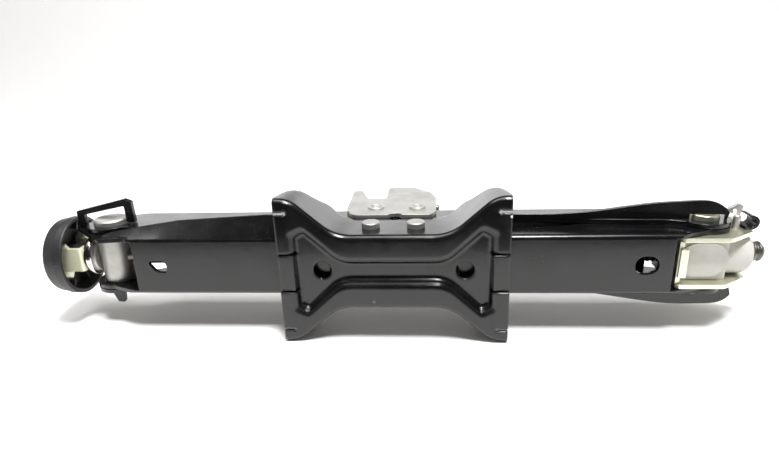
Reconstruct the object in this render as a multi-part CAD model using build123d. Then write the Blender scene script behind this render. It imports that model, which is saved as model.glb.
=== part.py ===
from build123d import *
import math
import os

os.makedirs("parts", exist_ok=True)

# frame: standing jack, folded; Z is the lifting direction, X runs along the screw towards the nut,
# the origin is the centre of the base's underside

# pivots
pin_half_spacing = 13.2
base_pin_z = 16.5
saddle_pin_z = 49.5
pivot_x = 181.0
pivot_z = (base_pin_z + saddle_pin_z) / 2

# fits
shaft_gap = 0.05
fixed_gap = 0.02
side_gap = 0.5
swing_gap = 0.4
touch_gap = 0.1

# base
base_half_length = 66.0
base_half_width = 44.4
waist_half_width = 22.5
waist_corner_x = 32.4
flare_corner_x = 57.2
waist_round = 24.0
flare_round = 18.0
base_sheet = 3.0
base_bend = 3.2
wall_centre_z = 33.6
wall_peak_z = 37.5
recess_depth = 5.0
recess_half_length = 57.5
recess_half_width = 25.0
recess_neck = 7.4
recess_slope = 28.0
recess_edge_round = 2.6
base_hole_r = 5.4
base_hole_x = 41.3
slit_width = 1.5
inner_slit_y = 11.4
outer_slit_y = 36.0
inner_slit_length = 9.5
outer_slit_length = 6.0
tab_tilt = 5.0
store_notch_r = 4.3

# pins
pin_r = 4.0
pin_head_r = 5.3
base_head_thickness = 3.4
saddle_head_thickness = 1.1

# arms
arm_sheet = 2.5
inner_arm_half = 18.4
web_depth = 22.0
web_end = 20.0
web_start_x = 35.0
arm_bend = 2.8
ear_r = 10.4
pivot_ear_r = 14.5
free_edge_gap = 1.0
flare_sheet = 2.0
left_edge_drop = 9.0
oval_hole_x = pivot_x - 37.0
oval_half_length = 6.7
oval_half_width = 5.6

# gear ends
gear_teeth = 16
tooth_thinning = 0.36
addendum_share = 0.85
dedendum_share = 1.2
pressure_angle = 20.0
teeth_cut = 4

# left pivot and screw
barrel_r = 10.2
barrel_top = 24.7
barrel_bottom = 21.2
screw_r = 6.0
screw_core_r = 5.0
screw_pitch = 3.0
screw_end_x = pivot_x + 36.0
thread_start_x = 61.0 - pivot_x
stud_r = 4.0
barrel_flat = 8.9
washer_r = 10.6
washer_thickness = 1.6
collar_r = 12.8
collar_thickness = 6.2

# yoke and knob
yoke_sheet = 2.5
yoke_half_height = 11.5
yoke_half_width = 7.5
yoke_length = 13.0
knob_r = 25.0
knob_wall = 2.2
knob_rim_x = -pivot_x - 22.5
knob_step_x = -pivot_x - 27.5
knob_back_x = -pivot_x - 36.0
knob_hub_r = 7.0
rib_count = 8
rib_thickness = 1.4
rib_inner_r = 16.6
rib_setback = 6.0

# nut end
plate_sheet = 2.5
plate_outer = 15.4
nut_bracket_x = pivot_x - 18.8
strip_half = 8.6
nut_half = 12.8
nut_end_x = pivot_x + 27.5
nut_pad_rise = 1.6
tube_r = 8.4
tube_wall = 1.8
tube_top = 24.3

# saddle
saddle_sheet = 2.5
saddle_bottom_z = 34.5
saddle_seat_z = 71.5
saddle_top_z = 100.0


def rounded_face(corners):
    """Face from (x, y, radius) corners, each rounded by its own radius."""
    edges = []
    marks = []
    count = len(corners)
    for i in range(count):
        x, y, r = corners[i]
        here = Vector(x, y)
        before = Vector(*corners[i - 1][:2])
        after = Vector(*corners[(i + 1) % count][:2])
        if r == 0:
            marks.append((here, here, None))
            continue
        to_before = (before - here).normalized()
        to_after = (after - here).normalized()
        half = math.acos(max(-1, min(1, to_before.dot(to_after)))) / 2
        run = r / math.tan(half)
        middle = (to_before + to_after).normalized()
        top = here + middle * (r / math.sin(half) - r)
        marks.append((here + to_before * run, here + to_after * run, top))
    for i in range(count):
        start, end, top = marks[i]
        if top is not None:
            edges.append(ThreePointArc(start, top, end))
        following = marks[(i + 1) % count][0]
        if (following - end).length > 1e-6:
            edges.append(Line(end, following))
    return make_face(edges)


def side_plane(y):
    return Plane(origin=(0, y, 0), x_dir=(1, 0, 0), z_dir=(0, -1, 0))


def side_slab(face, y_low, y_high):
    """A face drawn in X and Z, thick from y_low to y_high."""
    return extrude(side_plane(y_high) * face, amount=y_high - y_low)


def flat_slab(face, z_low, z_high):
    return extrude(Pos(0, 0, z_low) * face, amount=z_high - z_low)


def cross_rod(x, z, r, y_low, y_high):
    return side_slab(Pos(x, z) * Circle(r), y_low, y_high)


def along_x(r, x_low, x_high, y=0.0, z=pivot_z):
    plane = Plane(origin=(x_low, y, z), x_dir=(0, 1, 0), z_dir=(1, 0, 0))
    return extrude(plane * Circle(r), amount=x_high - x_low)


def block(x_low, x_high, y_low, y_high, z_low, z_high):
    size = Box(x_high - x_low, y_high - y_low, z_high - z_low)
    return Pos((x_low + x_high) / 2, (y_low + y_high) / 2, (z_low + z_high) / 2) * size


def mirrored(shape, plane):
    return mirror(shape, about=plane)


def as_one(shape):
    """The largest solid of a shape, cleaned."""
    solids = shape.solids()
    return sorted(solids, key=lambda s: s.volume)[-1]


def outline_corners(inset, reach):
    """The waisted outline of the base, moved in by inset and cut at reach along X."""
    angle = math.atan2(base_half_width - waist_half_width, flare_corner_x - waist_corner_x)
    shift = inset * math.tan(angle / 2)
    wide = base_half_width - inset
    narrow = waist_half_width - inset
    quarter = [
        (reach, wide, 0),
        (flare_corner_x + shift, wide, flare_round - inset),
        (waist_corner_x + shift, narrow, waist_round + inset),
    ]
    right = quarter
    left = [(-x, y, r) for x, y, r in reversed(quarter)]
    top = right + left
    return top + [(x, -y, r) for x, y, r in reversed(top)]


def wall_top_cutter():
    """Everything above the side walls' wavy top edge."""
    half = [
        (0, wall_centre_z), (27, wall_centre_z), (34, wall_centre_z + 0.6), (40, wall_peak_z),
        (45, 33.5), (51, 29.0), (57, 25.0), (61, 20.5), (64.2, 13.0), (base_half_length + 0.6, 2.6),
    ]
    points = [(-x, z) for x, z in reversed(half[1:])] + half
    curve = Spline(*points)
    lid = Polyline(points[-1], (90, 2.6), (90, 60), (-90, 60), (-90, 2.6), points[0])
    return side_slab(make_face([curve, lid]), -60, 60)


def recess_face(grow):
    wide = recess_half_length + grow
    tall = recess_half_width + grow
    neck = recess_neck + grow
    quarter = [(wide, tall - 3, 3.4), (50.5, tall + 1.5, 4.2), (30, neck, 16)]
    top = quarter + [(-x, y, r) for x, y, r in reversed(quarter)]
    return rounded_face(top + [(x, -y, r) for x, y, r in reversed(top)])


def base_shell():
    """Waisted channel: plate, side walls and the bow-tie recess pressed up into it."""
    body = flat_slab(rounded_face(outline_corners(0, base_half_length)), 0, 45)
    low_edges = body.edges().filter_by(lambda e: abs(e.center().Z) < 0.01)
    side_edges = low_edges.filter_by(lambda e: abs(e.center().Y) > 5)
    body = fillet(side_edges, base_bend)
    inside = flat_slab(rounded_face(outline_corners(base_sheet, 90)), base_sheet, 50)
    body = body - inside
    body = body - wall_top_cutter()
    bump = extrude(recess_face(1.4), amount=base_sheet + recess_depth, taper=recess_slope)
    hollow = extrude(recess_face(0), amount=recess_depth, taper=recess_slope)
    hollow = fillet(hollow.edges().group_by(Axis.Z)[-1], recess_edge_round)
    body = body + bump - hollow
    for grow, depth, slope in ((2.2, 0.45, 72), (1.3, 1.0, 50)):
        body = body - extrude(recess_face(grow), amount=depth, taper=slope)
    for side in (-1, 1):
        body = body - Pos(side * base_hole_x, 0, 5) * Cylinder(base_hole_r, 20)
        for x_side in (-1, 1):
            body = body - pin_hole(x_side * pin_half_spacing, base_pin_z, fixed_gap)
            body = body - end_slit(x_side, side * outer_slit_y, outer_slit_length)
            body = body - end_slit(x_side, side * inner_slit_y, inner_slit_length)
    body = body - cross_rod(0, wall_centre_z + 0.6, store_notch_r, -40, 40)
    for x_side in (-1, 1):
        body = bent_tab(body, x_side)
    return as_one(body)


def pin_hole(x, z, gap):
    return cross_rod(x, z, pin_r + gap, -60, 60)


def end_slit(x_side, y, length):
    outer = base_half_length + 2
    inner = base_half_length - length
    slit = block(inner, outer, y - slit_width / 2, y + slit_width / 2, -5, 20)
    slit = slit + Pos(inner, y, 5) * Cylinder(slit_width * 0.8, 30)
    return slit if x_side > 0 else mirrored(slit, Plane.YZ)


def bent_tab(body, x_side):
    """The middle end tab, bent up a little from the plate."""
    root_x = base_half_length - inner_slit_length + 1.5
    edge_y = inner_slit_y - slit_width / 2
    gap_box = block(root_x, base_half_length + 2, -edge_y, edge_y, -1, base_sheet + 1)
    length = base_half_length - root_x
    tab = block(-1.0, length, -edge_y, edge_y, 0, base_sheet)
    tab = Pos(root_x, 0, 0) * Rot(0, -tab_tilt, 0) * tab
    if x_side < 0:
        gap_box = mirrored(gap_box, Plane.YZ)
        tab = mirrored(tab, Plane.YZ)
    floor_cut = block(-90, 90, -60, 60, -5, 0)
    return body - gap_box + (tab - floor_cut)


def tooth_face(phase):
    """One involute tooth about the origin, pointing along angle phase in degrees."""
    module = 2 * pin_half_spacing / gear_teeth
    pitch_r = pin_half_spacing
    base_r = pitch_r * math.cos(math.radians(pressure_angle))
    tip_r = pitch_r + addendum_share * module
    root_r = pitch_r - dedendum_share * module
    half_pitch_angle = math.pi / (2 * gear_teeth) - tooth_thinning / 2 / pitch_r

    def spread(r):
        a = math.acos(min(1, base_r / r))
        return math.tan(a) - a

    flank = []
    steps = 7
    for i in range(steps + 1):
        r = max(base_r, root_r) + (tip_r - max(base_r, root_r)) * i / steps
        flank.append((r, half_pitch_angle + spread(pitch_r) - spread(r)))
    inner = [(root_r - 1.0, flank[0][1])]
    right = inner + flank
    turn = math.radians(phase)
    points = [(r * math.cos(turn - a), r * math.sin(turn - a)) for r, a in right]
    points += [(r * math.cos(turn + a), r * math.sin(turn + a)) for r, a in reversed(right)]
    return make_face(Polyline(*points, close=True))


def gear_end(x, z, up, half_step):
    """Rounded end about a pin with teeth facing X = 0, spread towards the side given by up."""
    module = 2 * pin_half_spacing / gear_teeth
    pitch_angle = 360 / gear_teeth
    side = 1 if x > 0 else -1
    face = Circle(pin_half_spacing - dedendum_share * module)
    start = pitch_angle / 4 + (-pitch_angle / 2 if half_step else 0)
    for i in range(teeth_cut):
        swing = start + i * pitch_angle
        direction = (180 - swing * up) if side > 0 else swing * up
        face = face + tooth_face(direction)
    return Pos(x, z) * face


def arm_profile(side, up, ear_top):
    """Flange outline of one arm in X and Z. side is +1 towards the nut, up is +1 for a lower arm."""
    pin_z = base_pin_z if up > 0 else saddle_pin_z
    web_z = pivot_z - up * web_depth
    far = pivot_x - web_end
    corners = [
        (pin_half_spacing, pin_z - up * (ear_r - 0.6), 0),
        (25.0, pin_z - up * (ear_r - 0.9), 5),
        (web_start_x, web_z, 5),
        (far, web_z, 4),
        (pivot_x - 2, pivot_z - up * (pivot_ear_r - 0.2), 0),
        (pivot_x + 2, pivot_z + up * (ear_top - 0.2), 0),
        (pivot_x - 14, pivot_z + up * (ear_top - 3.5), 8),
        (pivot_x - 58.0, pivot_z + up * min(2.5, ear_top - 3), 20),
        (pivot_x - 83.0, pivot_z - up * 5.0, 20),
        (pivot_x - 112.0, pivot_z - up * 8.0, 20),
        (pin_half_spacing, pin_z + up * (ear_r - 0.6), 0),
    ]
    face = rounded_face([(side * x, z, r) for x, z, r in corners])
    face = face + Pos(side * pivot_x, pivot_z) * Circle(pivot_ear_r)
    face = face + gear_end(side * pin_half_spacing, pin_z, up, side < 0)
    return face


def straight_profile(side, up, drop):
    """Flange outline of an outer arm; past the base its free edge runs drop below the near edge."""
    pin_z = base_pin_z if up > 0 else saddle_pin_z
    web_z = pivot_z - up * web_depth
    far = pivot_x - web_end
    edge_near = pivot_z - up * free_edge_gap
    corners = [
        (pin_half_spacing, pin_z - up * (ear_r - 0.6), 0),
        (25.0, pin_z - up * (ear_r - 0.9), 5),
        (web_start_x, web_z, 5),
        (far, web_z, 4),
        (pivot_x - 2, pivot_z - up * (pivot_ear_r - 0.2), 0),
        (pivot_x, pivot_z + up * (pivot_ear_r - 4), 0),
        (pivot_x - 22, pivot_z + up * max(4.5, drop), 12),
        (72.0, edge_near + up * drop, 12),
        (58.0, edge_near, 12),
        (34.0, edge_near - up * 1.2, 0),
        (pin_half_spacing + 2, pin_z + up * (ear_r - 1), 0),
    ]
    face = rounded_face([(side * x, z, r) for x, z, r in corners])
    face = face + Pos(side * pivot_x, pivot_z) * Circle(pivot_ear_r)
    face = face + gear_end(side * pin_half_spacing, pin_z, up, side < 0)
    return face


def channel_section(outer, web_z, up, bend):
    """Closed section in Y and Z whose two web corners are rounded."""
    far_z = web_z + up * 120
    corners = [(-outer, web_z, bend), (outer, web_z, bend), (outer, far_z, 0), (-outer, far_z, 0)]
    plane = Plane(origin=(-300, 0, 0), x_dir=(0, 1, 0), z_dir=(1, 0, 0))
    return extrude(plane * rounded_face(corners), amount=600)


def channel_arm(face, side, up, outer, bore_r):
    """Two flanges and a web, with bores for the pin and the end pivot."""
    web_z = pivot_z - up * web_depth
    inner = outer - arm_sheet
    body = side_slab(face, -outer, outer) & channel_section(outer, web_z, up, arm_bend)
    body = body - channel_section(inner, web_z + up * arm_sheet, up, 0.8)
    near = side * (web_start_x + 3.0)
    far = side * (pivot_x - web_end - 2.5)
    for start, stop in ((-side * 60, near), (far, side * 260)):
        body = body - block(min(start, stop), max(start, stop), -inner, inner, -60, 130)
    pin_z = base_pin_z if up > 0 else saddle_pin_z
    body = body - pin_hole(side * pin_half_spacing, pin_z, shaft_gap)
    body = body - cross_rod(side * pivot_x, pivot_z, bore_r + shaft_gap, -60, 60)
    return body


def lower_arm_right():
    face = arm_profile(1, 1, 13.0)
    body = channel_arm(face, 1, 1, inner_arm_half, tube_r)
    return as_one(body - web_hole(1, oval_half_length))


def web_hole(side, half_length):
    slot = SlotOverall(2 * half_length, 2 * oval_half_width)
    return Pos(side * oval_hole_x, 0, pivot_z - web_depth) * extrude(slot, amount=10, both=True)


def flare_section(x, edge_y, edge_z):
    """Sheet section in Y and Z, from the web bend out to the flared edge, at one X."""
    start_y = inner_arm_half - 1.0
    start_z = pivot_z - web_depth + 0.4
    run_y = edge_y - start_y
    run_z = edge_z - start_z
    length = math.hypot(run_y, run_z)
    across_y = -run_z / length * flare_sheet
    across_z = run_y / length * flare_sheet
    points = [
        (start_y, start_z), (edge_y, edge_z),
        (edge_y + across_y, edge_z + across_z), (start_y + across_y, start_z + across_z),
    ]
    plane = Plane(origin=(x, 0, 0), x_dir=(0, 1, 0), z_dir=(1, 0, 0))
    return plane * make_face(Polyline(*points, close=True))


def near_skirt():
    """Flare along the left lower arm's upper-side edge, widest at the base end."""
    stations = [
        (base_half_length, 29.8, 20.0), (base_half_length + 11.0, 29.7, 20.0), (pivot_x - 76.0, 28.3, 20.0),
        (pivot_x - 51.0, 26.8, 20.0), (pivot_x - 26.0, 23.2, 19.4), (pivot_x - 9.0, 20.6, 17.6),
        (pivot_x - 4.0, 19.2, 14.6),
    ]
    sections = [flare_section(*station) for station in stations]
    return mirrored(mirrored(loft(sections, ruled=True), Plane.XZ), Plane.YZ)


def lower_arm_left():
    """Inner arm whose upper-side flange ends in a point beyond the pivot."""
    face = arm_profile(-1, 1, 13.0)
    body = channel_arm(face, -1, 1, inner_arm_half, barrel_r)
    tip = rounded_face([
        (-pivot_x + 21, pivot_z - web_depth + 1, 0),
        (-pivot_x + 3, pivot_z - 24.0, 2),
        (-pivot_x - 23.5, pivot_z + 0.5, 1.2),
        (-pivot_x - 22.5, pivot_z + 7, 2),
        (-pivot_x - 8, pivot_z + 12.0, 4),
        (-pivot_x, pivot_z + 12.0, 0),
    ])
    plate = side_slab(tip, -inner_arm_half, -inner_arm_half + arm_sheet)
    body = body + plate + near_skirt()
    body = body - cross_rod(-pivot_x, pivot_z, barrel_r + shaft_gap, -60, 60)
    cut = Pos(-oval_hole_x, 0) * dee_face()
    cut = Pos(0, 0, pivot_z - web_depth) * extrude(cut, amount=10, both=True)
    return as_one(body - cut)


def dee_face():
    return rounded_face([(-6.4, -3.6, 1.5), (5.6, -3.6, 3.2), (5.6, 4.0, 2.2), (-1.0, 4.0, 5)])


outer_arm_half = inner_arm_half + side_gap + arm_sheet


def upper_arm_left():
    """Outer arm with a tool loop standing on one flange and a foot on the other."""
    face = straight_profile(-1, -1, left_edge_drop)
    body = channel_arm(face, -1, -1, outer_arm_half, barrel_r)
    return as_one(body)


def lip_plan(end_x, notch):
    """Half outline of the flared lip in X and Y."""
    inner = outer_arm_half - 1.2
    spine = [
        (44, inner + 1.0), (60, 24.0), (80, 24.3), (100, 24.8), (121, 26.8),
        (150, 31.0), (pivot_x - 9.0, 32.6), (pivot_x + 3.0, 32.0), (end_x - 3.5, 29.4), (end_x, 25.5),
    ]
    curve = Spline(*spine)
    back = Polyline(spine[-1], (end_x - 1.5, inner), (44, inner), spine[0])
    face = make_face([curve, back])
    if notch:
        reach = tube_r + 1.5
        hole = Pos(pivot_x, inner) * Rectangle(2 * reach, 2 * (tube_top - inner + swing_gap))
        face = face - hole
    return face


def upper_arm_right():
    """Outer arm whose free edges are turned out into lips that widen towards the pivot."""
    face = straight_profile(1, -1, 0.0)
    body = channel_arm(face, 1, -1, outer_arm_half, tube_r)
    strip_low = [(42, pivot_z + 1.2), (150, pivot_z - 3.0), (pivot_x + 24.0, pivot_z - 6.5)]
    strip = strip_low + [(x, z + arm_sheet) for x, z in reversed(strip_low)]
    strip = side_slab(make_face(Polyline(*strip, close=True)), -60, 60)
    far_lip = flat_slab(lip_plan(pivot_x + 19.5, True), 0, 70) & strip
    near_lip = mirrored(flat_slab(lip_plan(pivot_x + 11.5, True), 0, 70) & strip, Plane.XZ)
    apron_points = [(42, pivot_z + 3.5), (42, pivot_z + 1.2), (150, pivot_z - 3.0),
                    (pivot_x, pivot_z - 5), (pivot_x, pivot_z + 3.5)]
    apron = make_face(Polyline(*apron_points, close=True))
    apron = apron - Pos(pivot_x, pivot_z) * Circle(tube_r + shaft_gap)
    for sign in (-1, 1):
        low = min(sign * outer_arm_half, sign * (outer_arm_half - arm_sheet))
        body = body + side_slab(apron, low, low + arm_sheet)
    body = body + far_lip + near_lip
    return as_one(body)


def tool_loop():
    """Strap with a window that holds the wheel wrench, standing on the pointed flange."""
    thickness = 3.0
    z_low = pivot_z - 1.0
    clear_y = -outer_arm_half - swing_gap
    outer = rounded_face([
        (-pivot_x - 21.2, -inner_arm_half, 0), (-pivot_x - 21.2, -29.4, 1.2), (11.4 - pivot_x, -37.0, 1.0),
        (15.7 - pivot_x, -35.2, 1.0), (16.1 - pivot_x, clear_y, 0), (10.8 - pivot_x, clear_y, 0),
        (10.6 - pivot_x, -32.4, 0.8), (-pivot_x - 16.4, -27.0, 0.8),
        (-pivot_x - 16.6, -inner_arm_half, 0),
    ])
    return Pos(0, 0, z_low) * extrude(outer, amount=thickness)


def rest_foot():
    """Small bent strip beside the left pivot on the other side."""
    y = outer_arm_half
    face = rounded_face([
        (-pivot_x - 16.2, y, 0), (-pivot_x - 9.5, 36.5, 1.0), (-pivot_x - 5.0, 37.0, 1.0),
        (-pivot_x - 2.5, y, 0),
    ])
    window = rounded_face([
        (-pivot_x - 11.6, y + 3.0, 0.5), (-pivot_x - 7.9, 31.5, 0.8), (-pivot_x - 6.6, y + 3.0, 0.5),
    ])
    return Pos(0, 0, pivot_z + 4.8) * extrude(face - window, amount=arm_sheet)


def base_pin(x):
    shank = cross_rod(x, base_pin_z, pin_r, -waist_half_width, waist_half_width)
    pin = shank
    for side in (-1, 1):
        low = min(side * waist_half_width, side * (waist_half_width + base_head_thickness))
        head = cross_rod(x, base_pin_z, pin_head_r, low, low + base_head_thickness)
        outer_y = side * (waist_half_width + base_head_thickness)
        rim = head.edges().filter_by(lambda e: abs(e.center().Y - outer_y) < 0.01)
        pin = pin + fillet(rim, 0.7)
    return as_one(pin)


saddle_inner = outer_arm_half + swing_gap
saddle_outer = saddle_inner + saddle_sheet


def saddle_pin(x):
    pin = cross_rod(x, saddle_pin_z, pin_r, -saddle_outer, saddle_outer)
    for side in (-1, 1):
        low = min(side * saddle_outer, side * (saddle_outer + saddle_head_thickness))
        head = cross_rod(x, saddle_pin_z, pin_head_r, low, low + saddle_head_thickness)
        outer_y = side * (saddle_outer + saddle_head_thickness)
        rim = head.edges().filter_by(lambda e: abs(e.center().Y - outer_y) < 0.01)
        pin = pin + fillet(rim, 0.5)
        ring_low = outer_y - 0.35 if side > 0 else outer_y - 0.5
        ring = cross_rod(x, saddle_pin_z, 3.2, ring_low, ring_low + 0.85)
        ring = ring - cross_rod(x, saddle_pin_z, 2.3, ring_low - 1, ring_low + 2)
        pin = pin - ring
    return as_one(pin)


def saddle_outline(inset):
    """Side outline of the saddle; inset moves only the top boundary, the rest runs past."""
    i = inset
    open_x = 40.0 if inset else 0.0
    low = saddle_bottom_z if not inset else saddle_bottom_z - 20
    return rounded_face([
        (-27.0 - open_x, low, 0 if inset else 6),
        (-31.8 - open_x, 48.0 if not inset else low + 1, 0 if inset else 8),
        (-32.6 - open_x, 92.0 if not inset else saddle_seat_z - 10, 0 if inset else 1.2),
        (-26.8 - open_x, 92.0 if not inset else saddle_seat_z - i, 0 if inset else 1.2),
        (-20.5, saddle_seat_z - i, 0 if inset else 3.0),
        (-8.3 + i, saddle_seat_z - i, 1.0 if inset else 1.5),
        (-8.3 + i, saddle_top_z - i, 1.0 if inset else 2.5),
        (9.0 - i * 0.3, saddle_top_z - i, 6),
        (21.5 - i * 0.8, 86.0 - i * 0.6, 10),
        (25.2 - (0 if inset else 0), 72.0, 4 if not inset else 0),
        (25.0 + open_x, 44.0 if not inset else 60.0, 0 if inset else 3),
        (22.5 + open_x, low, 0 if inset else 4),
    ])


def saddle():
    """Two side plates joined over the top, with a seat for the car's sill."""
    body = side_slab(saddle_outline(0), -saddle_outer, saddle_outer)
    body = body - side_slab(saddle_outline(saddle_sheet), -saddle_inner, saddle_inner)
    body = body - block(-60, -8.3, -saddle_inner, saddle_inner, saddle_seat_z, 130)
    for x_side in (-1, 1):
        body = body - pin_hole(x_side * pin_half_spacing, saddle_pin_z, fixed_gap)
    body = body - cross_rod(0, saddle_bottom_z - 0.9, store_notch_r, -60, 60)
    return as_one(body)


def saddle_spacer():
    tube = cross_rod(25.4, 61.5, 2.4, -saddle_inner, saddle_inner)
    return tube - cross_rod(25.4, 61.5, 1.4, -saddle_inner - 1, saddle_inner + 1)


def barrel():
    """Solid cross pin the screw passes through; one end is shallowly dished."""
    body = cross_rod(-pivot_x, pivot_z, barrel_r, -barrel_top, barrel_bottom)
    rims = body.edges().filter_by(GeomType.CIRCLE)
    body = chamfer(rims, 0.7)
    dish_r = 30.0
    dish = Pos(-pivot_x, -barrel_top - dish_r + 1.1, pivot_z) * Sphere(dish_r)
    body = body - dish
    body = body - along_x(screw_core_r + shaft_gap, -pivot_x - 20, -pivot_x + 20)
    flat_x = -pivot_x - barrel_flat
    body = body - block(flat_x - 5, flat_x, -washer_r - 0.6, washer_r + 0.6, 0, 80)
    return as_one(body)


washer_right_x = -pivot_x - barrel_flat - touch_gap
washer_left_x = washer_right_x - washer_thickness
collar_right_x = washer_left_x - touch_gap
collar_left_x = collar_right_x - collar_thickness


def thrust_washer():
    ring = along_x(washer_r, washer_left_x, washer_right_x)
    return ring - along_x(screw_core_r + shaft_gap, washer_left_x - 1, washer_right_x + 1)


def thrust_collar():
    """Round-edged steel collar against which the screw pulls."""
    ring = along_x(collar_r, collar_left_x, collar_right_x)
    rims = ring.edges().filter_by(GeomType.CIRCLE)
    ring = fillet(rims, collar_thickness * 0.42)
    return ring - along_x(screw_core_r + fixed_gap, collar_left_x - 1, collar_right_x + 1)


yoke_right_x = collar_left_x
yoke_web_left_x = yoke_right_x - yoke_sheet


def thread_outline():
    """Zigzag upper outline of the threaded length as (x, radius) points."""
    count = int((screw_end_x - 1.0 - thread_start_x) / screw_pitch)
    points = []
    for i in range(count):
        x = thread_start_x + i * screw_pitch
        points.append((x, screw_core_r))
        points.append((x + screw_pitch * 0.36, screw_r))
        points.append((x + screw_pitch * 0.64, screw_r))
    return points


def screw():
    """Screw with a plain neck at the barrel and a thread on the nut side."""
    shoulder_x = -pivot_x + 14
    outline = [
        (knob_back_x + 3.2, 0), (knob_back_x + 3.2, stud_r), (yoke_right_x, stud_r),
        (yoke_right_x, screw_core_r), (shoulder_x, screw_core_r), (shoulder_x, screw_r),
        (thread_start_x - 2, screw_r),
    ]
    outline += thread_outline()
    outline += [(screw_end_x - 1.2, screw_core_r), (screw_end_x, screw_core_r - 1.2), (screw_end_x, 0)]
    face = make_face(Polyline(*outline, close=True))
    plane = Plane(origin=(0, 0, pivot_z), x_dir=(1, 0, 0), z_dir=(0, -1, 0))
    return as_one(revolve(plane * face, axis=Axis((0, 0, pivot_z), (1, 0, 0))))


def yoke():
    """U-shaped drive fork with turned-out lips, open towards the knob."""
    z_low = pivot_z - yoke_half_height
    z_high = pivot_z + yoke_half_height
    tip_x = yoke_web_left_x - yoke_length
    web = block(yoke_web_left_x, yoke_right_x, -yoke_half_width, yoke_half_width, z_low, z_high)
    near = block(tip_x, yoke_right_x, -yoke_half_width, yoke_half_width, z_low, z_low + yoke_sheet)
    far = block(tip_x, yoke_right_x, -yoke_half_width, yoke_half_width, z_high - yoke_sheet, z_high)
    body = web + near + far
    bends = body.edges().filter_by(Axis.Y).filter_by(lambda e: abs(e.center().X - yoke_right_x) < 0.01)
    body = fillet(bends, 2.0)
    for z_side in (-1, 1):
        z = pivot_z + z_side * (yoke_half_height - yoke_sheet / 2)
        for y_side in (-1, 1):
            lip = Box(7.0, 5.0, yoke_sheet * 0.72)
            lip = Rot(z_side * y_side * 38, 0, 0) * lip
            lip_y = y_side * (yoke_half_width + 1.5)
            body = body + Pos(tip_x + 3.5, lip_y, z + z_side * 1.1) * lip
    body = body - along_x(stud_r + fixed_gap, tip_x - 2, yoke_right_x + 2)
    return as_one(body)


def knob():
    """Moulded cup: closed back, stepped rim and short ribs inside, open towards the screw."""
    back_r = knob_r - 1.6
    outline = [
        (knob_rim_x, knob_r, 0.8), (knob_step_x, knob_r, 0), (knob_step_x, knob_r - 0.5, 0),
        (knob_back_x, back_r, 3.0), (knob_back_x, 0, 0),
        (knob_back_x + knob_wall, 0, 0), (knob_back_x + knob_wall, back_r - knob_wall, 1.5),
        (knob_step_x, knob_r - 0.5 - knob_wall, 0), (knob_rim_x, knob_r - knob_wall, 0.6),
    ]
    face = rounded_face(outline)
    plane = Plane(origin=(0, 0, pivot_z), x_dir=(1, 0, 0), z_dir=(0, -1, 0))
    axis = Axis((0, 0, pivot_z), (1, 0, 0))
    body = revolve(plane * face, axis=axis)
    floor_x = knob_back_x + knob_wall
    hub_end = yoke_web_left_x - 2.0
    body = body + along_x(knob_hub_r, floor_x - 0.2, hub_end)
    for i in range(rib_count):
        angle = 360 / rib_count * (i + 0.5)
        length = knob_r - knob_wall - 0.7 - rib_inner_r
        rib = block(floor_x - 0.2, knob_rim_x - rib_setback, -rib_thickness / 2, rib_thickness / 2,
                    rib_inner_r, rib_inner_r + length)
        body = body + Pos(0, 0, pivot_z) * Rot(angle, 0, 0) * rib
    body = body - along_x(stud_r + fixed_gap, knob_back_x + knob_wall + 0.6, hub_end + 3)
    return as_one(body)


def nut_bracket():
    """Folded bracket that holds the nut block between two pivot plates."""
    x = nut_bracket_x
    plate = rounded_face([
        (x, pivot_z - 18.3, 0.6), (x + 1.8, pivot_z - 20.3, 0.6), (x + 27, pivot_z - 20.3, 5),
        (x + 43.5, pivot_z - 8.5, 2), (x + 44.5, pivot_z + 6, 4), (x + 27, pivot_z + 20.3, 5),
        (x + 1.8, pivot_z + 20.3, 0.6), (x, pivot_z + 18.3, 0.6),
    ])
    plate = plate - Pos(pivot_x, pivot_z) * Circle(tube_r + fixed_gap)
    body = side_slab(plate, plate_outer - plate_sheet, plate_outer)
    body = body + side_slab(plate, -plate_outer, -plate_outer + plate_sheet)
    inner = plate_outer - plate_sheet + 0.4
    body = body + block(x, x + plate_sheet, -inner, inner, pivot_z - 18.0, pivot_z + 18.0)
    body = body + block(x + 0.4, x + 4.6, -strip_half, strip_half, pivot_z - 20.0, pivot_z - 17.5)
    body = body - along_x(screw_r + 1.6, x - 2, x + 6)
    return as_one(body)


def nut_block():
    """Plastic nut: barrel with a flat raised pad towards the underside."""
    x_low = nut_bracket_x + plate_sheet + touch_gap
    half = plate_outer - plate_sheet - touch_gap
    low = pivot_z - nut_half
    body = block(x_low, x_low + 27, -half, half, low, pivot_z + nut_half)
    round_part = along_x(half, x_low, nut_end_x)
    end_rim = round_part.edges().filter_by(lambda e: abs(e.center().X - nut_end_x) < 0.01)
    round_part = fillet(end_rim, 5.5)
    body = body + round_part
    pad = Pos(x_low + 13.2, 0, low - nut_pad_rise) * extrude(SlotOverall(27.5, 20.5), amount=4)
    pad = pad & block(x_low + 2.6, x_low + 60, -half, half, low - 5, low + 10)
    body = body + pad
    body = body - along_x(screw_r + 0.1, x_low - 2, nut_end_x + 2)
    keep_out = cross_rod(pivot_x, pivot_z, tube_r, -40, -half - 0.01)
    return as_one(body - keep_out)


def pivot_tube(side):
    """Flared hollow pivot on one side of the nut bracket."""
    low = plate_outer - plate_sheet
    tube = cross_rod(pivot_x, pivot_z, tube_r, low, tube_top)
    rim = tube.edges().filter_by(lambda e: abs(e.center().Y - tube_top) < 0.01)
    tube = fillet(rim, 0.6)
    tube = tube - cross_rod(pivot_x, pivot_z, tube_r - tube_wall, low - 1, tube_top + 1)
    tube = as_one(tube)
    return tube if side > 0 else as_one(mirrored(tube, Plane.XZ))


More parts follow.
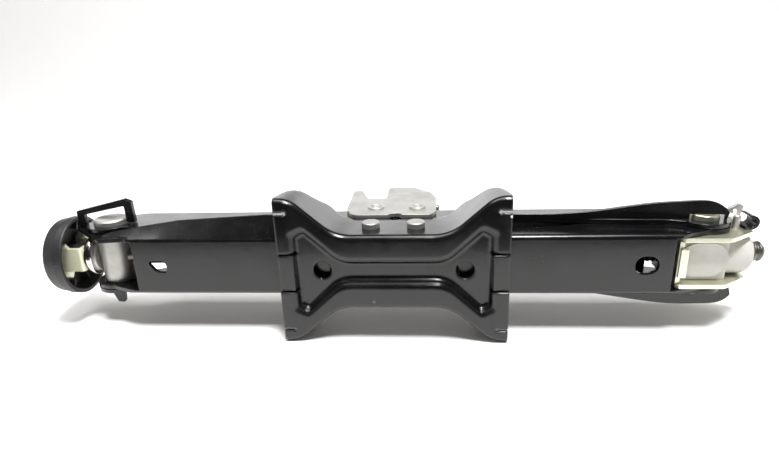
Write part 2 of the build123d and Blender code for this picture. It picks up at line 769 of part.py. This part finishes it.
def wrench_clip():
    """Sheet tab with a J-shaped notch standing on the nut bracket."""
    z_low = pivot_z + 12.0
    thickness = 2.0
    foot_y = -plate_outer
    face = rounded_face([
        (pivot_x + 12.5, foot_y, 0), (pivot_x + 10.5, -18.0, 1), (pivot_x + 25.3, -25.8, 1),
        (pivot_x + 28.3, -24.2, 1.0), (pivot_x + 26.0, foot_y, 0),
    ])
    notch = Pos(pivot_x + 21.3, -18.6) * Rot(0, 0, 20) * SlotOverall(6.5, 2.6)
    notch = notch + Pos(pivot_x + 23.9, -20.2) * Rot(0, 0, 75) * SlotOverall(5.0, 2.2)
    tab = Pos(0, 0, z_low) * extrude(face - notch, amount=thickness)
    foot = block(pivot_x + 15.0, pivot_x + 24.5, foot_y - 1.8, foot_y, z_low - 3.0, z_low + thickness)
    return as_one(tab + foot)


def clip_rivet():
    stem = cross_rod(pivot_x + 17.2, pivot_z - 3.0, 2.0, -plate_outer - 8.4, -plate_outer)
    tip = stem.edges().filter_by(lambda e: abs(e.center().Y + plate_outer + 8.4) < 0.01)
    return as_one(fillet(tip, 1.2))


def wrench_curl():
    """Half-round curl of sheet beside the clip."""
    centre_x = pivot_x + 24.5
    centre_y = -plate_outer - 4.2
    ring = Circle(4.2) - Circle(2.5)
    ring = ring - Pos(-3.2, -1.2) * Rot(0, 0, 35) * Rectangle(4.5, 6.0)
    z_low = pivot_z - 6.0
    return as_one(Pos(centre_x, centre_y, z_low) * extrude(ring, amount=11.0))


def write(name, shape):
    export_step(shape, "parts/" + name + ".step")
    print(name, "volume", round(shape.volume, 1))


write("base_channel", base_shell())
write("base_pin_left", base_pin(-pin_half_spacing))
write("base_pin_right", base_pin(pin_half_spacing))
write("lower_arm_left", lower_arm_left())
write("lower_arm_right", lower_arm_right())
write("upper_arm_left", upper_arm_left())
write("upper_arm_right", upper_arm_right())
write("tool_loop", tool_loop())
write("rest_foot", rest_foot())
write("saddle", saddle())
write("saddle_pin_left", saddle_pin(-pin_half_spacing))
write("saddle_pin_right", saddle_pin(pin_half_spacing))
write("saddle_spacer", saddle_spacer())
write("barrel_pivot", barrel())
write("thrust_washer", thrust_washer())
write("thrust_collar", thrust_collar())
write("drive_screw", screw())
write("drive_yoke", yoke())
write("hand_knob", knob())
write("nut_bracket", nut_bracket())
write("nut_block", nut_block())
write("pivot_tube_near", pivot_tube(-1))
write("pivot_tube_far", pivot_tube(1))
write("wrench_clip", wrench_clip())
write("clip_rivet", clip_rivet())
write("wrench_curl", wrench_curl())
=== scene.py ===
import bpy
import math
import numpy as np
from mathutils import Matrix, Vector

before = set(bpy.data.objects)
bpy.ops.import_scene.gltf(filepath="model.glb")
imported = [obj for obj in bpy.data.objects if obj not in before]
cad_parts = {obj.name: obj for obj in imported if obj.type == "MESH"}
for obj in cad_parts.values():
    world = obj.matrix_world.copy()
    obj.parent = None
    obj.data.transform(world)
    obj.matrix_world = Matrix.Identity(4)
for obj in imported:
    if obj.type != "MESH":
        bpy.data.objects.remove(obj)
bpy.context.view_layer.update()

viewer = {
    "pitch": 19.725, "yaw": -4.815, "roll": -2.010,  # degrees
    "place": (0.023446, -0.126675, -0.291211), "lens": 25.82,
}
lights = {
    "worldColor": (0.97, 0.94, 0.90), "worldPower": 0.33,
    "topPower": 13.0, "topSize": (1.3, 0.4), "topPlace": (-0.1, -1.15, -0.06),
    "keyPower": 30.0, "keySize": (0.30, 0.30), "keyPlace": (0.22, -1.4, -0.42),
    "cardStart": -0.135, "cardEnd": -1.6, "glow": 2.1,
    "floorColor": (0.86, 0.855, 0.845), "floorGlow": 0.25,
}
paintLook = {
    "color": (0.0035, 0.0035, 0.0040), "dust": (0.10, 0.095, 0.09), "roughness": 0.18,
    "peelScale": 260.0, "peelHeight": 0.00003, "mottleScale": 38.0, "edge": 0.0007,
}
zincLook = {"color": (0.62, 0.61, 0.58), "dark": (0.40, 0.39, 0.37), "roughness": 0.47, "grain": 260.0}
yellowLook = {"color": (0.80, 0.79, 0.62), "tint": (0.72, 0.76, 0.62), "roughness": 0.34, "grain": 90.0}
steelLook = {"color": (0.22, 0.21, 0.19), "dark": (0.06, 0.055, 0.05), "roughness": 0.38, "grain": 150.0}
brightLook = {"color": (0.80, 0.78, 0.75), "roughness": 0.14, "grain": 500.0}
plasticLook = {"color": (0.017, 0.0165, 0.017), "roughness": 0.46, "grain": 900.0}
nylonLook = {"color": (0.50, 0.49, 0.465), "shade": (0.43, 0.425, 0.395), "roughness": 0.42, "grain": 70.0}


class Wire:  # output socket with arithmetic
    def __init__(self, graph, socket):
        self.graph = graph
        self.socket = socket

    def mathNode(self, kind, a, b=0.0, c=None):
        values = {0: a, 1: b}
        if c is not None:
            values[2] = c
        return self.graph.node("ShaderNodeMath", values, operation=kind)

    def __add__(self, other):
        return self.mathNode("ADD", self, other)

    __radd__ = __add__

    def __sub__(self, other):
        return self.mathNode("SUBTRACT", self, other)

    def __rsub__(self, other):
        return self.mathNode("SUBTRACT", other, self)

    def __mul__(self, other):
        return self.mathNode("MULTIPLY", self, other)

    __rmul__ = __mul__

    def __truediv__(self, other):
        return self.mathNode("DIVIDE", self, other)

    def __rtruediv__(self, other):
        return self.mathNode("DIVIDE", other, self)

    def ramp(self, start, stop):  # 0 below start, 1 above stop, smooth between
        return self.graph.node("ShaderNodeMapRange", {0: self, 1: start, 2: stop, 3: 0.0, 4: 1.0},
                               interpolation_type="SMOOTHSTEP", clamp=True)


class Graph:  # node tree of one material
    def __init__(self, name):
        self.material = bpy.data.materials.new(name)
        self.material.use_nodes = True
        self.tree = self.material.node_tree
        self.tree.nodes.clear()
        self.shader = None

    def node(self, kind, values=None, out=0, **settings):
        made = self.tree.nodes.new(kind)
        for key, value in settings.items():
            setattr(made, key, value)
        for key, value in (values or {}).items():
            self.feed(made.inputs[key], value)
        return Wire(self, made.outputs[out])

    def feed(self, target, value):
        if isinstance(value, Wire):
            self.tree.links.new(value.socket, target)
        elif isinstance(value, tuple) and len(value) == 3 and target.type == "RGBA":
            target.default_value = (*value, 1.0)
        else:
            target.default_value = value

    def place(self, scale=(1, 1, 1), turn=(0, 0, 0), shift=(0, 0, 0)):
        coords = self.node("ShaderNodeTexCoord", out=3)
        return self.node("ShaderNodeMapping", {"Vector": coords, "Location": shift, "Rotation": turn, "Scale": scale})

    def noise(self, where, scale, detail=3.0, rough=0.5, warp=0.0):
        return self.node("ShaderNodeTexNoise", {"Vector": where, "Scale": scale, "Detail": detail,
                                                "Roughness": rough, "Distortion": warp})

    def cells(self, where, scale):
        return self.node("ShaderNodeTexVoronoi", {"Vector": where, "Scale": scale}, feature="F1")

    def blend(self, factor, a, b):
        made = self.tree.nodes.new("ShaderNodeMix")
        made.data_type = "RGBA"
        self.feed(made.inputs[0], factor)
        self.feed(made.inputs[6], a)
        self.feed(made.inputs[7], b)
        return Wire(self, made.outputs[2])

    def bump(self, height, distance, strength=1.0, soften=0.0):
        values = {"Height": height, "Distance": distance, "Strength": strength}
        if soften > 0:
            values["Normal"] = self.node("ShaderNodeBevel", {"Radius": soften}, samples=6)
        return self.node("ShaderNodeBump", values)

    def finish(self, **values):
        names = {
            "color": "Base Color", "roughness": "Roughness", "metallic": "Metallic", "normal": "Normal",
            "coat": "Coat Weight", "coatRoughness": "Coat Roughness", "specular": "Specular IOR Level",
            "glow": "Emission Color", "glowPower": "Emission Strength",
        }
        shader = self.tree.nodes.new("ShaderNodeBsdfPrincipled")
        for key, value in values.items():
            self.feed(shader.inputs[names[key]], value)
        end = self.tree.nodes.new("ShaderNodeOutputMaterial")
        self.tree.links.new(shader.outputs[0], end.inputs[0])
        self.shader = shader
        return self.material


def position(graph):  # x, y and z of the point being shaded, in metres
    made = graph.tree.nodes.new("ShaderNodeSeparateXYZ")
    graph.feed(made.inputs[0], graph.node("ShaderNodeTexCoord", out=3))
    return [Wire(graph, made.outputs[i]) for i in range(3)]


def makePaint(name, look, specks=False):
    g = Graph(name)
    where = g.place()
    mottle = g.noise(where, look["mottleScale"], 4.0, 0.6).ramp(0.35, 0.75)
    dust = g.noise(where, 900.0, 2.0, 0.7).ramp(0.62, 0.78) * g.noise(where, 55.0).ramp(0.45, 0.7)
    color = g.blend(dust * 0.22 + mottle * 0.03, look["color"], look["dust"])
    roughness = mottle * 0.10 + dust * 0.25 + look["roughness"]
    if specks:
        spots = g.cells(g.place((1, 1, 1), (0.2, 0.1, 0.3)), 46.0)
        patch = g.noise(g.place(shift=(0.02, 0.01, 0.0)), 30.0, 2.0).ramp(0.52, 0.60)
        drop = (1.0 - spots.ramp(0.03, 0.055)) * patch
        color = g.blend(drop, color, (0.75, 0.75, 0.73))
        roughness = roughness - drop * 0.1
    peel = g.noise(where, look["peelScale"], 3.0, 0.55)
    return g.finish(color=color, roughness=roughness, normal=g.bump(peel, look["peelHeight"], soften=look["edge"]),
                    coat=0.08, coatRoughness=0.12)


def makeMetal(name, color, dark, roughness, grain, streak=(1, 1, 1), depth=0.00003, metallic=0.92, greaseAndPaintedShade=False):
    g = Graph(name)
    where = g.place(streak)
    cloud = g.noise(where, grain * 0.25, 5.0, 0.62).ramp(0.3, 0.72)
    fine = g.noise(where, grain * 4.0, 2.0, 0.5)
    stain = g.noise(g.place(shift=(0.3, 0.2, 0.1)), 60.0, 3.0, 0.7).ramp(0.60, 0.80)
    tone = g.blend(cloud * 0.55 + stain * 0.25, color, dark)
    # painted shade: when switched on, the inner corner of the part (x below 0.17 m, z above 0.02 m) is painted
    # near-black as if it lay in shade
    if greaseAndPaintedShade:
        x, y, z = position(g)
        paintedInnerShade = (1.0 - x.ramp(0.166, 0.170)) * z.ramp(0.021, 0.026)
        tone = g.blend(paintedInnerShade, tone, (0.012, 0.011, 0.010))
    return g.finish(color=tone, roughness=fine * 0.12 + cloud * 0.08 + (roughness - 0.08), metallic=metallic,
                    normal=g.bump(fine, depth, soften=0.0005))


def makePlastic(name, look):
    g = Graph(name)
    where = g.place()
    grain = g.noise(where, look["grain"], 3.0, 0.6)
    cloud = g.noise(where, 40.0, 3.0, 0.5).ramp(0.35, 0.7)
    scuff = g.noise(g.place((1, 8, 8)), 120.0, 3.0, 0.6).ramp(0.66, 0.74)
    color = g.blend(scuff * 0.25 + cloud * 0.08, look["color"], (0.16, 0.15, 0.155))
    return g.finish(color=color, roughness=grain * 0.12 + look["roughness"] - 0.06,
                    normal=g.bump(grain, 0.00005))


def makeNylon(name, look):
    g = Graph(name)
    where = g.place()
    x, y, z = position(g)
    # painted shade: the inner corner of the nut block (x below 0.17 m, z above 0.02 m) is painted near-black as if it
    # lay in shade
    paintedInnerShade = (1.0 - x.ramp(0.164, 0.168)) * z.ramp(0.019, 0.024)
    cloud = g.noise(where, look["grain"], 4.0, 0.55).ramp(0.35, 0.75)
    fine = g.noise(where, 800.0, 2.0, 0.5)
    # random brownish grease stains on the nylon
    greaseAndPaintedShade = g.noise(g.place(shift=(0.1, 0.4, 0.2)), 90.0, 3.0, 0.6).ramp(0.62, 0.72)
    color = g.blend(greaseAndPaintedShade * 0.3, g.blend(cloud, look["color"], look["shade"]), (0.42, 0.38, 0.28))
    color = g.blend(paintedInnerShade, color, (0.015, 0.014, 0.012))
    return g.finish(color=color, roughness=fine * 0.1 + look["roughness"], normal=g.bump(fine, 0.00003))


materials = {
    "paint": makePaint("blackPaint", paintLook),
    "basePaint": makePaint("basePaint", {**paintLook, "roughness": 0.16, "edge": 0.0022}, specks=True),
    "zinc": makeMetal("zinc", zincLook["color"], zincLook["dark"], zincLook["roughness"], zincLook["grain"]),
    "yellow": makeMetal("yellowZinc", yellowLook["color"], yellowLook["tint"], yellowLook["roughness"],
                        yellowLook["grain"]),
    # yellow zinc for the nut bracket, with painted shade on its inner corner
    "paintedShadeYellow": makeMetal("yellowZincPaintedShade", yellowLook["color"], yellowLook["tint"], yellowLook["roughness"],
                         yellowLook["grain"], greaseAndPaintedShade=True),
    "yoke": makeMetal("yokeZinc", (0.86, 0.86, 0.64), (0.78, 0.80, 0.58), 0.42, 90.0, metallic=0.45),
    "steel": makeMetal("screwSteel", steelLook["color"], steelLook["dark"], steelLook["roughness"],
                       steelLook["grain"]),
    "bright": makeMetal("brightSteel", brightLook["color"], (0.5, 0.48, 0.46), brightLook["roughness"],
                        brightLook["grain"], depth=0.00001, metallic=1.0),
    "plastic": makePlastic("blackPlastic", plasticLook),
    "nylon": makeNylon("whiteNylon", nylonLook),
}
print("materials made")
nodeMaterials = {
    "base_channel": "basePaint", "base_pin_left": "zinc", "base_pin_right": "zinc",
    "lower_arm_left": "paint", "lower_arm_right": "paint", "upper_arm_left": "paint",
    "upper_arm_right": "paint", "tool_loop": "paint", "rest_foot": "paint", "saddle": "zinc",
    "saddle_pin_left": "zinc", "saddle_pin_right": "zinc", "saddle_spacer": "yellow", "barrel_pivot": "zinc",
    "thrust_washer": "zinc", "thrust_collar": "bright", "drive_screw": "steel", "drive_yoke": "yoke",
    "hand_knob": "plastic", "nut_bracket": "paintedShadeYellow", "nut_block": "nylon", "pivot_tube_near": "yellow",
    "pivot_tube_far": "yellow", "wrench_clip": "zinc", "clip_rivet": "zinc", "wrench_curl": "paint",
}
for name, kind in nodeMaterials.items():
    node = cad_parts[name]
    node.data.materials.clear()
    node.data.materials.append(materials[kind])
print("materials given to the nodes")


def addCamera():
    p, y, r = (math.radians(viewer[k]) for k in ("pitch", "yaw", "roll"))
    turnPitch = np.array([[1, 0, 0], [0, math.cos(p), -math.sin(p)], [0, math.sin(p), math.cos(p)]])
    turnYaw = np.array([[math.cos(y), 0, -math.sin(y)], [0, 1, 0], [math.sin(y), 0, math.cos(y)]])
    turnRoll = np.array([[math.cos(r), -math.sin(r), 0], [math.sin(r), math.cos(r), 0], [0, 0, 1]])
    rows = turnRoll @ turnPitch @ turnYaw
    camera = bpy.data.cameras.new("camera")
    camera.lens = viewer["lens"]
    camera.sensor_width = 36.0
    camera.clip_start = 0.01
    holder = bpy.data.objects.new("camera", camera)
    matrix = Matrix.Identity(4)
    for i in range(3):
        matrix[i][0] = rows[0][i]
        matrix[i][1] = -rows[1][i]
        matrix[i][2] = -rows[2][i]
        matrix[i][3] = viewer["place"][i]
    holder.matrix_world = matrix
    bpy.context.scene.collection.objects.link(holder)
    bpy.context.scene.camera = holder


def addLight(name, power, size, place):
    light = bpy.data.lights.new(name, "AREA")
    light.shape = "RECTANGLE"
    light.size = size[0]
    light.size_y = size[1]
    light.energy = power
    holder = bpy.data.objects.new(name, light)
    holder.location = place
    aim = (Vector((0, 0, 0.03)) - Vector(place)).normalized()
    holder.rotation_euler = aim.to_track_quat("-Z", "Y").to_euler()
    bpy.context.scene.collection.objects.link(holder)


def addStage():  # floor the folded jack lies on, swept up behind it and seen from its upper side only
    across = np.linspace(-3.0, 3.0, 3)
    flat = np.linspace(-2.2, 1.0, 9)
    arc = np.linspace(0, math.pi / 2, 13)[1:]
    # flat sheet at y = 0.0449 up to z = 1, then a quarter circle of radius 0.8, then straight up
    depth = np.concatenate([flat, 1.0 + 0.8 * np.sin(arc), [1.8]])
    height = np.concatenate([np.full(9, 0.0449), 0.0449 - 0.8 * (1 - np.cos(arc)), [-2.6]])
    xs, zs = np.meshgrid(across, depth)
    ys = np.repeat(height[:, None], len(across), axis=1)
    points = np.stack([xs, ys, zs], axis=-1).reshape(-1, 3)
    rows, cols = xs.shape
    first = (np.arange(rows - 1)[:, None] * cols + np.arange(cols - 1)[None, :]).ravel()
    faces = np.stack([first, first + 1, first + cols + 1, first + cols], axis=1)
    mesh = bpy.data.meshes.new("floor")
    mesh.from_pydata(points.tolist(), [], faces.tolist())
    mesh.polygons.foreach_set("use_smooth", np.ones(len(faces), dtype=bool))
    floor = bpy.data.objects.new("floor", mesh)
    bpy.context.scene.collection.objects.link(floor)
    g = Graph("floorPaper")
    soft = g.noise(g.place(), 5.0, 2.0, 0.5)
    color = g.blend(soft * 0.3, lights["floorColor"], (0.90, 0.90, 0.89))
    x, y, z = position(g)
    g.finish(color=color, roughness=0.85, specular=0.1, glow=z.ramp(0.10, 0.60) * lights["floorGlow"], glowPower=1.0)
    facing = g.node("ShaderNodeNewGeometry", out=6)
    clear = g.tree.nodes.new("ShaderNodeBsdfTransparent")
    pick = g.tree.nodes.new("ShaderNodeMixShader")
    g.feed(pick.inputs[0], facing)
    g.tree.links.new(g.shader.outputs[0], pick.inputs[1])
    g.tree.links.new(clear.outputs[0], pick.inputs[2])
    end = [n for n in g.tree.nodes if n.bl_idname == "ShaderNodeOutputMaterial"][0]
    g.tree.links.new(pick.outputs[0], end.inputs[0])
    mesh.materials.append(g.material)


def addCard(name, corners, bright):  # painted reflection: only reflections meet it, as a dark flag painting reflected shade or a bright sheet painting a reflected highlight
    mesh = bpy.data.meshes.new(name)
    mesh.from_pydata(corners, [], [(0, 1, 2, 3)])
    card = bpy.data.objects.new(name, mesh)
    bpy.context.scene.collection.objects.link(card)
    g = Graph(name + "Cloth")
    soft = g.noise(g.place(), 2.0, 2.0)
    g.finish(color=soft * 0.01 + 0.01, roughness=0.9, specular=0.0, glow=(1.0, 1.0, 1.0), glowPower=bright)
    mesh.materials.append(g.material)
    for flag in ("visible_camera", "visible_diffuse", "visible_shadow", "visible_transmission"):
        setattr(card, flag, False)


def addCards():
    # painted reflections: the front, roof and wall cards paint dark reflections of shade, the back card paints a
    # bright reflection and the high card a faint one
    start, end = lights["cardStart"], lights["cardEnd"]
    addCard("frontCard", [(-2.5, 0.043, start), (2.5, 0.043, start), (2.5, 0.043, end), (-2.5, 0.043, end)], 0.0)
    far = 1.2
    addCard("backCard", [(-2.5, 0.04, far), (2.5, 0.04, far), (2.5, -0.50, far), (-2.5, -0.50, far)], lights["glow"])
    addCard("roofCard", [(-2.5, -1.6, -0.66), (2.5, -1.6, -0.66), (2.5, -1.5, -1.8), (-2.5, -1.5, -1.8)], 0.0)
    addCard("wallCard", [(-2.5, 0.04, -1.61), (2.5, 0.04, -1.61), (2.5, -1.55, -1.61), (-2.5, -1.55, -1.61)], 0.0)
    addCard("highCard", [(-2.5, -0.52, far), (2.5, -0.52, far), (2.0, -1.3, 0.45), (-2.0, -1.3, 0.45)], 0.03)


def setWorld():
    world = bpy.data.worlds.new("studio")
    world.use_nodes = True
    back = world.node_tree.nodes["Background"]
    back.inputs[0].default_value = (*lights["worldColor"], 1.0)
    back.inputs[1].default_value = lights["worldPower"]
    bpy.context.scene.world = world


setWorld()
addStage()
addLight("topLight", lights["topPower"], lights["topSize"], lights["topPlace"])
addLight("keyLight", lights["keyPower"], lights["keySize"], lights["keyPlace"])
addCards()
print("lights and cards ready")
addCamera()
bpy.context.scene.view_settings.view_transform = "Standard"
print("camera ready")
